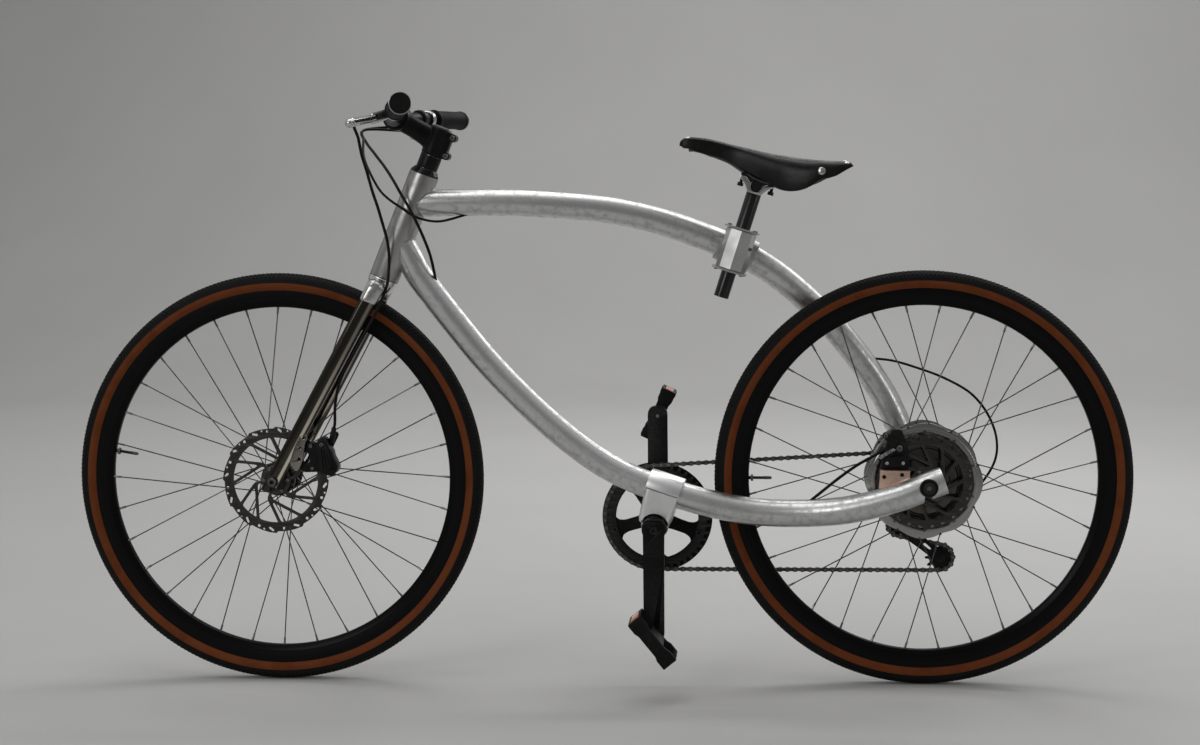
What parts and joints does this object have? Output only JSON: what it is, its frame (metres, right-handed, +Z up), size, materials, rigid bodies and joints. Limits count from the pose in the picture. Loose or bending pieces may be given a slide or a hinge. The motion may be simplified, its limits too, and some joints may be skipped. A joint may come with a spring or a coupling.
{
  "type": "electric bicycle",
  "caption": "Electric city bicycle with a frame of curved bare aluminium tubes, a rear hub motor, disc brakes, swept handlebar and stretched leather saddle.",
  "frame": {"origin": "on the ground, on the centre plane, half way between the two wheel axles", "axes": "+X to the rear of the bicycle, +Y to its right (chain) side, +Z up"},
  "size_m": [1.772, 0.6036, 0.975],
  "materials": {
    "polished_steel": "polished, satin on the discs",
    "brushed_aluminium": "brushed, uncoated",
    "black_anodised": "black anodised, satin",
    "black_rubber": "matt",
    "tyre_rubber": "matt, with a tan stripe round each side wall",
    "black_leather": "smooth stretched hide, low sheen",
    "dark_chrome": "dark polished chrome",
    "raw_bronze": "bare, brushed",
    "oiled_steel": "oiled"
  },
  "bodies": {
    "frame": {"head_tube": "brushed_aluminium", "upper_tube": "brushed_aluminium", "lower_tube": "brushed_aluminium", "seat_clamp": "brushed_aluminium", "bb_clamp_cap": "brushed_aluminium", "bb_clamp_block": "brushed_aluminium", "bb_cup_left": "black_anodised", "bb_cup_right": "black_anodised", "headset_cup_upper": "black_anodised", "rear_axle": "polished_steel", "axle_bolt_left": "black_anodised", "axle_bolt_right": "black_anodised", "rear_caliper_bracket": "raw_bronze", "rear_caliper": "black_anodised", "derailleur_hanger": "black_anodised", "rear_brake_cable": "black_rubber", "shift_cable": "black_rubber", "chain": "oiled_steel"},
    "steering": {"fork_crown": "brushed_aluminium", "fork_leg_left": "dark_chrome", "fork_leg_right": "dark_chrome", "stem": "black_anodised", "steerer_spacer": "black_anodised", "handlebar": "black_anodised", "grip_left": "black_rubber", "grip_right": "black_rubber", "lever_bracket_left": "polished_steel", "lever_bracket_right": "polished_steel", "shifter_body": "black_anodised", "front_axle": "polished_steel", "front_caliper": "black_anodised", "front_brake_cable": "black_rubber"},
    "front_wheel": {"front_hub": "polished_steel", "front_rim": "black_anodised", "front_tyre": "tyre_rubber", "front_rotor": "polished_steel"},
    "rear_wheel": {"rear_hub": "brushed_aluminium", "rear_rim": "black_anodised", "rear_tyre": "tyre_rubber", "rear_rotor": "polished_steel"},
    "cassette": {"cassette": "oiled_steel"},
    "crank": {"crank_left": "black_anodised", "crank_right": "black_anodised", "chainring": "oiled_steel", "chain_guard": "black_anodised"},
    "pedal_left": {"pedal_left": "black_anodised"},
    "pedal_right": {"pedal_right": "black_anodised"},
    "seat_post": {"seatpost": "black_anodised"},
    "saddle": {"saddle": "black_leather", "saddle_frame": "polished_steel"},
    "brake_lever_left": {"brake_lever_left": "brushed_aluminium"},
    "brake_lever_right": {"brake_lever_right": "brushed_aluminium"},
    "shifter_lever": {"shifter_lever": "brushed_aluminium"},
    "front_caliper_arm": {"front_caliper_arm": "black_anodised"},
    "rear_caliper_arm": {"rear_caliper_arm": "black_anodised"},
    "derailleur_link": {"derailleur_link": "black_anodised"},
    "derailleur_knuckle": {"derailleur_knuckle": "black_anodised"},
    "derailleur_cage": {"derailleur_cage": "black_anodised"},
    "guide_pulley": {"guide_pulley": "black_anodised"},
    "tension_pulley": {"tension_pulley": "black_anodised"}
  },
  "joints": [
    {"name": "steering", "type": "hinge", "parent": "frame", "child": "steering", "pos_m": [-0.3236, 0, 0.7695], "axis": [0.3778, 0, 0.9259], "range_deg": [-45, 45], "deforming": ["shift_cable", "rear_brake_cable"]},
    {"name": "front_wheel_spin", "type": "hinge", "parent": "steering", "child": "front_wheel", "pos_m": [-0.54, 0, 0.346], "axis": [0, 1, 0], "continuous": true},
    {"name": "rear_wheel_spin", "type": "hinge", "parent": "frame", "child": "rear_wheel", "pos_m": [0.54, 0, 0.346], "axis": [0, 1, 0], "continuous": true},
    {"name": "crank_turn", "type": "hinge", "parent": "frame", "child": "crank", "pos_m": [0.096, 0, 0.271], "axis": [0, 1, 0], "continuous": true, "deforming": ["chain"]},
    {"name": "cassette_turn", "type": "hinge", "parent": "frame", "child": "cassette", "pos_m": [0.54, 0, 0.346], "axis": [0, 1, 0], "continuous": true},
    {"name": "pedal_left_turn", "type": "hinge", "parent": "crank", "child": "pedal_left", "pos_m": [0.096, -0.1238, 0.101], "axis": [0, 1, 0], "continuous": true},
    {"name": "pedal_right_turn", "type": "hinge", "parent": "crank", "child": "pedal_right", "pos_m": [0.096, 0.1238, 0.441], "axis": [0, 1, 0], "continuous": true},
    {"name": "seat_height", "type": "slide", "parent": "frame", "child": "seat_post", "axis": [0.3057, 0, 0.9521], "range_m": [-0.05, 0.045]},
    {"name": "saddle_tilt", "type": "hinge", "parent": "seat_post", "child": "saddle", "pos_m": [0.26519, 0, 0.83141], "axis": [0, 1, 0], "range_deg": [-8, 8]},
    {"name": "brake_lever_left_pull", "type": "hinge", "parent": "steering", "child": "brake_lever_left", "pos_m": [-0.33802, -0.16173, 0.94238], "axis": [-0.3414, -0.0579, 0.9381], "range_deg": [0, 17], "stiffness_Nm_per_rad": 3, "springref_deg": -8.59},
    {"name": "brake_lever_right_pull", "type": "hinge", "parent": "steering", "child": "brake_lever_right", "pos_m": [-0.33802, 0.16173, 0.94238], "axis": [0.3414, -0.0579, -0.9381], "range_deg": [0, 17], "stiffness_Nm_per_rad": 3, "springref_deg": -8.59},
    {"name": "shifter_push", "type": "hinge", "parent": "steering", "child": "shifter_lever", "pos_m": [-0.31637, 0.11578, 0.92358], "axis": [-0.0062, -0.0254, 0.9997], "range_deg": [0, 30], "stiffness_Nm_per_rad": 0.4, "springref_deg": -17.19},
    {"name": "front_caliper_arm_turn", "type": "hinge", "parent": "steering", "child": "front_caliper_arm", "pos_m": [-0.456, -0.028, 0.396], "axis": [0, -1, 0], "range_deg": [0, 21]},
    {"name": "rear_caliper_arm_turn", "type": "hinge", "parent": "frame", "child": "rear_caliper_arm", "pos_m": [0.496, -0.066, 0.405], "axis": [0, -1, 0], "range_deg": [0, 21]},
    {"name": "derailleur_link_swing", "type": "hinge", "parent": "frame", "child": "derailleur_link", "pos_m": [0.55, 0.076, 0.296], "axis": [-0.6153, 0, 0.7883], "range_deg": [-12, 12], "deforming": ["chain"]},
    {"name": "derailleur_knuckle_swing", "type": "hinge", "parent": "derailleur_link", "child": "derailleur_knuckle", "pos_m": [0.509, 0.0665, 0.264], "axis": [-0.6153, 0, 0.7883], "range_deg": [-12, 12]},
    {"name": "derailleur_cage_swing", "type": "hinge", "parent": "derailleur_knuckle", "child": "derailleur_cage", "pos_m": [0.507, 0.044, 0.262], "axis": [0, 1, 0], "range_deg": [-15, 40], "stiffness_Nm_per_rad": 4, "deforming": ["chain"]},
    {"name": "guide_pulley_spin", "type": "hinge", "parent": "derailleur_cage", "child": "guide_pulley", "pos_m": [0.507, 0.044, 0.262], "axis": [0, 1, 0], "continuous": true},
    {"name": "tension_pulley_spin", "type": "hinge", "parent": "derailleur_cage", "child": "tension_pulley", "pos_m": [0.57384, 0.044, 0.20476], "axis": [0, 1, 0], "continuous": true}
  ],
  "couplings": [
    {"joint": "cassette_turn", "follows": "crank_turn", "ratio": 2.2},
    {"joint": "guide_pulley_spin", "follows": "crank_turn", "ratio": -4},
    {"joint": "tension_pulley_spin", "follows": "crank_turn", "ratio": 4},
    {"joint": "front_caliper_arm_turn", "follows": "brake_lever_left_pull", "ratio": 1.2},
    {"joint": "rear_caliper_arm_turn", "follows": "brake_lever_right_pull", "ratio": 1.2},
    {"joint": "derailleur_knuckle_swing", "follows": "derailleur_link_swing", "ratio": -1}
  ]
}
